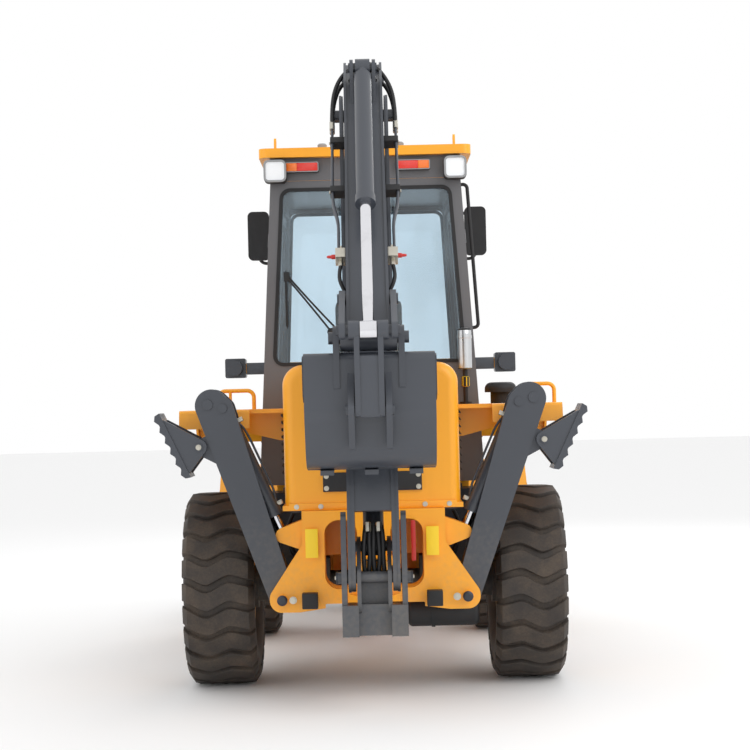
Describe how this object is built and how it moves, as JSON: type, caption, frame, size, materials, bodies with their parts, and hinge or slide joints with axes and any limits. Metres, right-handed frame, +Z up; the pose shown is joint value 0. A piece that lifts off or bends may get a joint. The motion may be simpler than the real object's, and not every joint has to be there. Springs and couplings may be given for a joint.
{
  "type": "backhoe loader",
  "caption": "Articulated backhoe loader with cab, rear engine hood, folded backhoe, stabilizers, loader arms with bucket and four equal wheels.",
  "frame": {"origin": "on the ground under the middle of the machine", "axes": "+Z up, +Y the way it drives, +X its right"},
  "size_m": [2.4798, 6.7606, 3.7171],
  "materials": {
    "yellow_paint": "gloss paint",
    "slate_paint": "satin paint",
    "cab_paint": "satin paint",
    "rim_paint": "satin paint",
    "plain_casting": "painted casting",
    "black_plastic": "matte",
    "lamp_plastic": "gloss",
    "window_glass": "clear",
    "rod_chrome": "polished",
    "tyre_rubber": "dusty rubber"
  },
  "bodies": {
    "chassis": {"rear_frame": "yellow_paint", "backhoe_frame": "yellow_paint", "rear_axle": "plain_casting", "engine_block": "plain_casting", "engine_hood": "yellow_paint", "body_skirt": "slate_paint", "rear_fenders": "yellow_paint", "fender_rails": "yellow_paint", "cab_shell": "cab_paint", "cab_roof": "yellow_paint", "cab_glass": "window_glass", "cab_lamps": "lamp_plastic", "cab_interior": "black_plastic", "side_tanks": "slate_paint", "service_fittings": "black_plastic", "mirrors": "black_plastic"},
    "front_chassis": {"front_frame": "yellow_paint", "front_axle": "plain_casting", "front_fenders": "yellow_paint", "head_lamps": "slate_paint"},
    "loader_arms": {"loader_arms": "yellow_paint"},
    "loader_bucket": {"loader_bucket": "slate_paint"},
    "tilt_lever": {"tilt_lever": "slate_paint"},
    "tilt_link": {"tilt_link": "slate_paint"},
    "tilt_barrel": {"tilt_barrel": "slate_paint"},
    "tilt_rod": {"tilt_rod": "rod_chrome"},
    "lift_barrels": {"lift_barrels": "slate_paint"},
    "lift_rods": {"lift_rods": "rod_chrome"},
    "swing_post": {"swing_post": "slate_paint"},
    "boom": {"boom": "slate_paint"},
    "dipper": {"dipper": "slate_paint"},
    "backhoe_bucket": {"backhoe_bucket": "slate_paint"},
    "guide_links": {"guide_links": "slate_paint"},
    "power_link": {"power_link": "slate_paint"},
    "boom_barrel": {"boom_barrel": "slate_paint"},
    "boom_rod": {"boom_rod": "rod_chrome"},
    "dipper_barrel": {"dipper_barrel": "slate_paint"},
    "dipper_rod": {"dipper_rod": "rod_chrome"},
    "bucket_barrel": {"bucket_barrel": "slate_paint"},
    "bucket_rod": {"bucket_rod": "rod_chrome"},
    "door_left": {"door_left": "cab_paint", "door_glass_left": "window_glass"},
    "wheel_rear_left": {"tyre_rear_left": "tyre_rubber", "rim_rear_left": "rim_paint"},
    "wheel_front_left": {"tyre_front_left": "tyre_rubber", "rim_front_left": "rim_paint"},
    "stabilizer_leg_left": {"stabilizer_leg_left": "slate_paint"},
    "stabilizer_barrel_left": {"stabilizer_barrel_left": "slate_paint"},
    "stabilizer_rod_left": {"stabilizer_rod_left": "rod_chrome"},
    "stabilizer_pad_left": {"stabilizer_pad_left": "slate_paint"},
    "door_right": {"door_right": "cab_paint", "door_glass_right": "window_glass"},
    "wheel_rear_right": {"tyre_rear_right": "tyre_rubber", "rim_rear_right": "rim_paint"},
    "wheel_front_right": {"tyre_front_right": "tyre_rubber", "rim_front_right": "rim_paint"},
    "stabilizer_leg_right": {"stabilizer_leg_right": "slate_paint"},
    "stabilizer_barrel_right": {"stabilizer_barrel_right": "slate_paint"},
    "stabilizer_rod_right": {"stabilizer_rod_right": "rod_chrome"},
    "stabilizer_pad_right": {"stabilizer_pad_right": "slate_paint"}
  },
  "joints": [
    {"name": "steering", "type": "hinge", "parent": "chassis", "child": "front_chassis", "pos_m": [0, -0.13034, 0.69], "axis": [0, 0, 1], "range_deg": [-35, 35]},
    {"name": "loader_lift", "type": "hinge", "parent": "front_chassis", "child": "loader_arms", "pos_m": [0, 0.71966, 1.7], "axis": [1, 0, 0], "range_deg": [0, 68]},
    {"name": "loader_bucket_roll", "type": "hinge", "parent": "loader_arms", "child": "loader_bucket", "pos_m": [0, 2.39966, 0.33], "axis": [-1, 0, 0], "range_deg": [0, 143]},
    {"name": "tilt_lever_turn", "type": "hinge", "parent": "loader_arms", "child": "tilt_lever", "pos_m": [0, 1.41966, 1.25], "axis": [-1, 0, 0], "range_deg": [-0.3, 143.3]},
    {"name": "tilt_link_turn", "type": "hinge", "parent": "tilt_lever", "child": "tilt_link", "pos_m": [0, 1.26473, 1.54137], "axis": [-1, 0, 0], "range_deg": [-143.3, 0.3]},
    {"name": "tilt_barrel_swing", "type": "hinge", "parent": "loader_arms", "child": "tilt_barrel", "pos_m": [0, 0.89966, 1.8], "axis": [1, 0, 0], "range_deg": [-0.3, 12.94]},
    {"name": "tilt_rod_slide", "type": "slide", "parent": "tilt_barrel", "child": "tilt_rod", "axis": [0, 0.6425, -0.7663], "range_m": [-0.002, 0.34734]},
    {"name": "lift_barrels_swing", "type": "hinge", "parent": "front_chassis", "child": "lift_barrels", "pos_m": [0, 0.74966, 0.45], "axis": [1, 0, 0], "range_deg": [-0.3, 2.21]},
    {"name": "lift_rods_slide", "type": "slide", "parent": "lift_barrels", "child": "lift_rods", "axis": [0, 0.3808, 0.9247], "range_m": [-0.002, 0.64858]},
    {"name": "backhoe_swing", "type": "hinge", "parent": "chassis", "child": "swing_post", "pos_m": [0, -2.52034, 0.7], "axis": [0, 0, 1], "range_deg": [-90, 90]},
    {"name": "boom_lift", "type": "hinge", "parent": "swing_post", "child": "boom", "pos_m": [0, -2.72034, 0.76], "axis": [1, 0, 0], "range_deg": [0, 125]},
    {"name": "dipper_crowd", "type": "hinge", "parent": "boom", "child": "dipper", "pos_m": [0, -1.97034, 3.37], "axis": [-1, 0, 0], "range_deg": [0, 115]},
    {"name": "backhoe_bucket_curl", "type": "hinge", "parent": "dipper", "child": "backhoe_bucket", "pos_m": [0, -3.12034, 2.04], "axis": [-1, 0, 0], "range_deg": [0, 115]},
    {"name": "boom_barrel_swing", "type": "hinge", "parent": "swing_post", "child": "boom_barrel", "pos_m": [0, -2.53634, 0.914], "axis": [1, 0, 0], "range_deg": [-0.3, 125.64]},
    {"name": "boom_rod_slide", "type": "slide", "parent": "boom_barrel", "child": "boom_rod", "axis": [0, 0.4016, 0.9158], "range_m": [-0.002, 0.42761]},
    {"name": "dipper_barrel_swing", "type": "hinge", "parent": "boom", "child": "dipper_barrel", "pos_m": [0, -2.05713, 2.04689], "axis": [1, 0, 0], "range_deg": [-0.4138, 0.3]},
    {"name": "dipper_rod_slide", "type": "slide", "parent": "dipper_barrel", "child": "dipper_rod", "axis": [0, 0.2016, 0.9795], "range_m": [-0.5758, 0.002]},
    {"name": "guide_links_turn", "type": "hinge", "parent": "dipper", "child": "guide_links", "pos_m": [0, -2.98734, 2.246], "axis": [-1, 0, 0], "range_deg": [-0.3, 100.67]},
    {"name": "power_link_turn", "type": "hinge", "parent": "guide_links", "child": "power_link", "pos_m": [0, -3.33034, 2.07], "axis": [-1, 0, 0], "range_deg": [-45.52, 0.3]},
    {"name": "bucket_barrel_swing", "type": "hinge", "parent": "dipper", "child": "bucket_barrel", "pos_m": [0, -2.08034, 3.632], "axis": [1, 0, 0], "range_deg": [-6.67, 0.3]},
    {"name": "bucket_rod_slide", "type": "slide", "parent": "bucket_barrel", "child": "bucket_rod", "axis": [0, -0.6248, -0.7808], "range_m": [-0.56341, 0.002]},
    {"name": "stabilizer_right", "type": "hinge", "parent": "chassis", "child": "stabilizer_leg_right", "pos_m": [0.53, -2.02534, 0.586], "axis": [0, 1, 0], "range_deg": [0, 88]},
    {"name": "stabilizer_pad_right_tilt", "type": "hinge", "parent": "stabilizer_leg_right", "child": "stabilizer_pad_right", "pos_m": [0.99, -2.02534, 1.47], "axis": [0, -1, 0], "range_deg": [-30, 25]},
    {"name": "stabilizer_barrel_right_swing", "type": "hinge", "parent": "stabilizer_leg_right", "child": "stabilizer_barrel_right", "pos_m": [0.851, -2.02534, 1.69], "axis": [0, -1, 0], "range_deg": [-8.09, 0.3]},
    {"name": "stabilizer_rod_right_slide", "type": "slide", "parent": "stabilizer_barrel_right", "child": "stabilizer_rod_right", "axis": [-0.4083, 0, -0.9128], "range_m": [-0.002, 0.48836]},
    {"name": "stabilizer_left", "type": "hinge", "parent": "chassis", "child": "stabilizer_leg_left", "pos_m": [-0.53, -2.02534, 0.586], "axis": [0, -1, 0], "range_deg": [0, 88]},
    {"name": "stabilizer_pad_left_tilt", "type": "hinge", "parent": "stabilizer_leg_left", "child": "stabilizer_pad_left", "pos_m": [-0.99, -2.02534, 1.47], "axis": [0, 1, 0], "range_deg": [-30, 25]},
    {"name": "stabilizer_barrel_left_swing", "type": "hinge", "parent": "stabilizer_leg_left", "child": "stabilizer_barrel_left", "pos_m": [-0.851, -2.02534, 1.69], "axis": [0, 1, 0], "range_deg": [-8.09, 0.3]},
    {"name": "stabilizer_rod_left_slide", "type": "slide", "parent": "stabilizer_barrel_left", "child": "stabilizer_rod_left", "axis": [0.4083, 0, -0.9128], "range_m": [-0.002, 0.48836]},
    {"name": "door_right_swing", "type": "hinge", "parent": "chassis", "child": "door_right", "pos_m": [0.67064, -0.64034, 2.13958], "axis": [0.0578, 0, -0.9983], "range_deg": [0, 90]},
    {"name": "door_left_swing", "type": "hinge", "parent": "chassis", "child": "door_left", "pos_m": [-0.67064, -0.64034, 2.13958], "axis": [0.0578, 0, 0.9983], "range_deg": [0, 90]},
    {"name": "wheel_rear_left_spin", "type": "hinge", "parent": "chassis", "child": "wheel_rear_left", "pos_m": [-0.925, -1.33034, 0.5867], "axis": [-1, 0, 0], "continuous": true},
    {"name": "wheel_rear_right_spin", "type": "hinge", "parent": "chassis", "child": "wheel_rear_right", "pos_m": [0.925, -1.33034, 0.5867], "axis": [-1, 0, 0], "continuous": true},
    {"name": "wheel_front_left_spin", "type": "hinge", "parent": "front_chassis", "child": "wheel_front_left", "pos_m": [-0.925, 1.06966, 0.5867], "axis": [-1, 0, 0], "continuous": true},
    {"name": "wheel_front_right_spin", "type": "hinge", "parent": "front_chassis", "child": "wheel_front_right", "pos_m": [0.925, 1.06966, 0.5867], "axis": [-1, 0, 0], "continuous": true}
  ],
  "couplings": [
    {"joint": "tilt_lever_turn", "follows": "loader_bucket_roll", "ratio": 1},
    {"joint": "tilt_link_turn", "follows": "loader_bucket_roll", "ratio": -1},
    {"joint": "tilt_barrel_swing", "follows": "loader_bucket_roll", "ratio": 0.08841},
    {"joint": "tilt_rod_slide", "follows": "loader_bucket_roll", "m_per_rad": 0.13837},
    {"joint": "lift_barrels_swing", "follows": "loader_lift", "ratio": 0.028078},
    {"joint": "lift_rods_slide", "follows": "loader_lift", "m_per_rad": 0.54479},
    {"joint": "boom_barrel_swing", "follows": "boom_lift", "ratio": 1.0027},
    {"joint": "boom_rod_slide", "follows": "boom_lift", "m_per_rad": 0.19508},
    {"joint": "dipper_barrel_swing", "follows": "dipper_crowd", "ratio": -0.00098938},
    {"joint": "dipper_rod_slide", "follows": "dipper_crowd", "m_per_rad": -0.28588},
    {"joint": "guide_links_turn", "follows": "backhoe_bucket_curl", "ratio": 0.87279},
    {"joint": "power_link_turn", "follows": "backhoe_bucket_curl", "ratio": -0.3932},
    {"joint": "bucket_barrel_swing", "follows": "backhoe_bucket_curl", "ratio": -0.055411},
    {"joint": "bucket_rod_slide", "follows": "backhoe_bucket_curl", "m_per_rad": -0.27971},
    {"joint": "stabilizer_barrel_right_swing", "follows": "stabilizer_right", "ratio": -0.088494},
    {"joint": "stabilizer_rod_right_slide", "follows": "stabilizer_right", "m_per_rad": 0.31666},
    {"joint": "stabilizer_barrel_left_swing", "follows": "stabilizer_left", "ratio": -0.088494},
    {"joint": "stabilizer_rod_left_slide", "follows": "stabilizer_left", "m_per_rad": 0.31666}
  ]
}
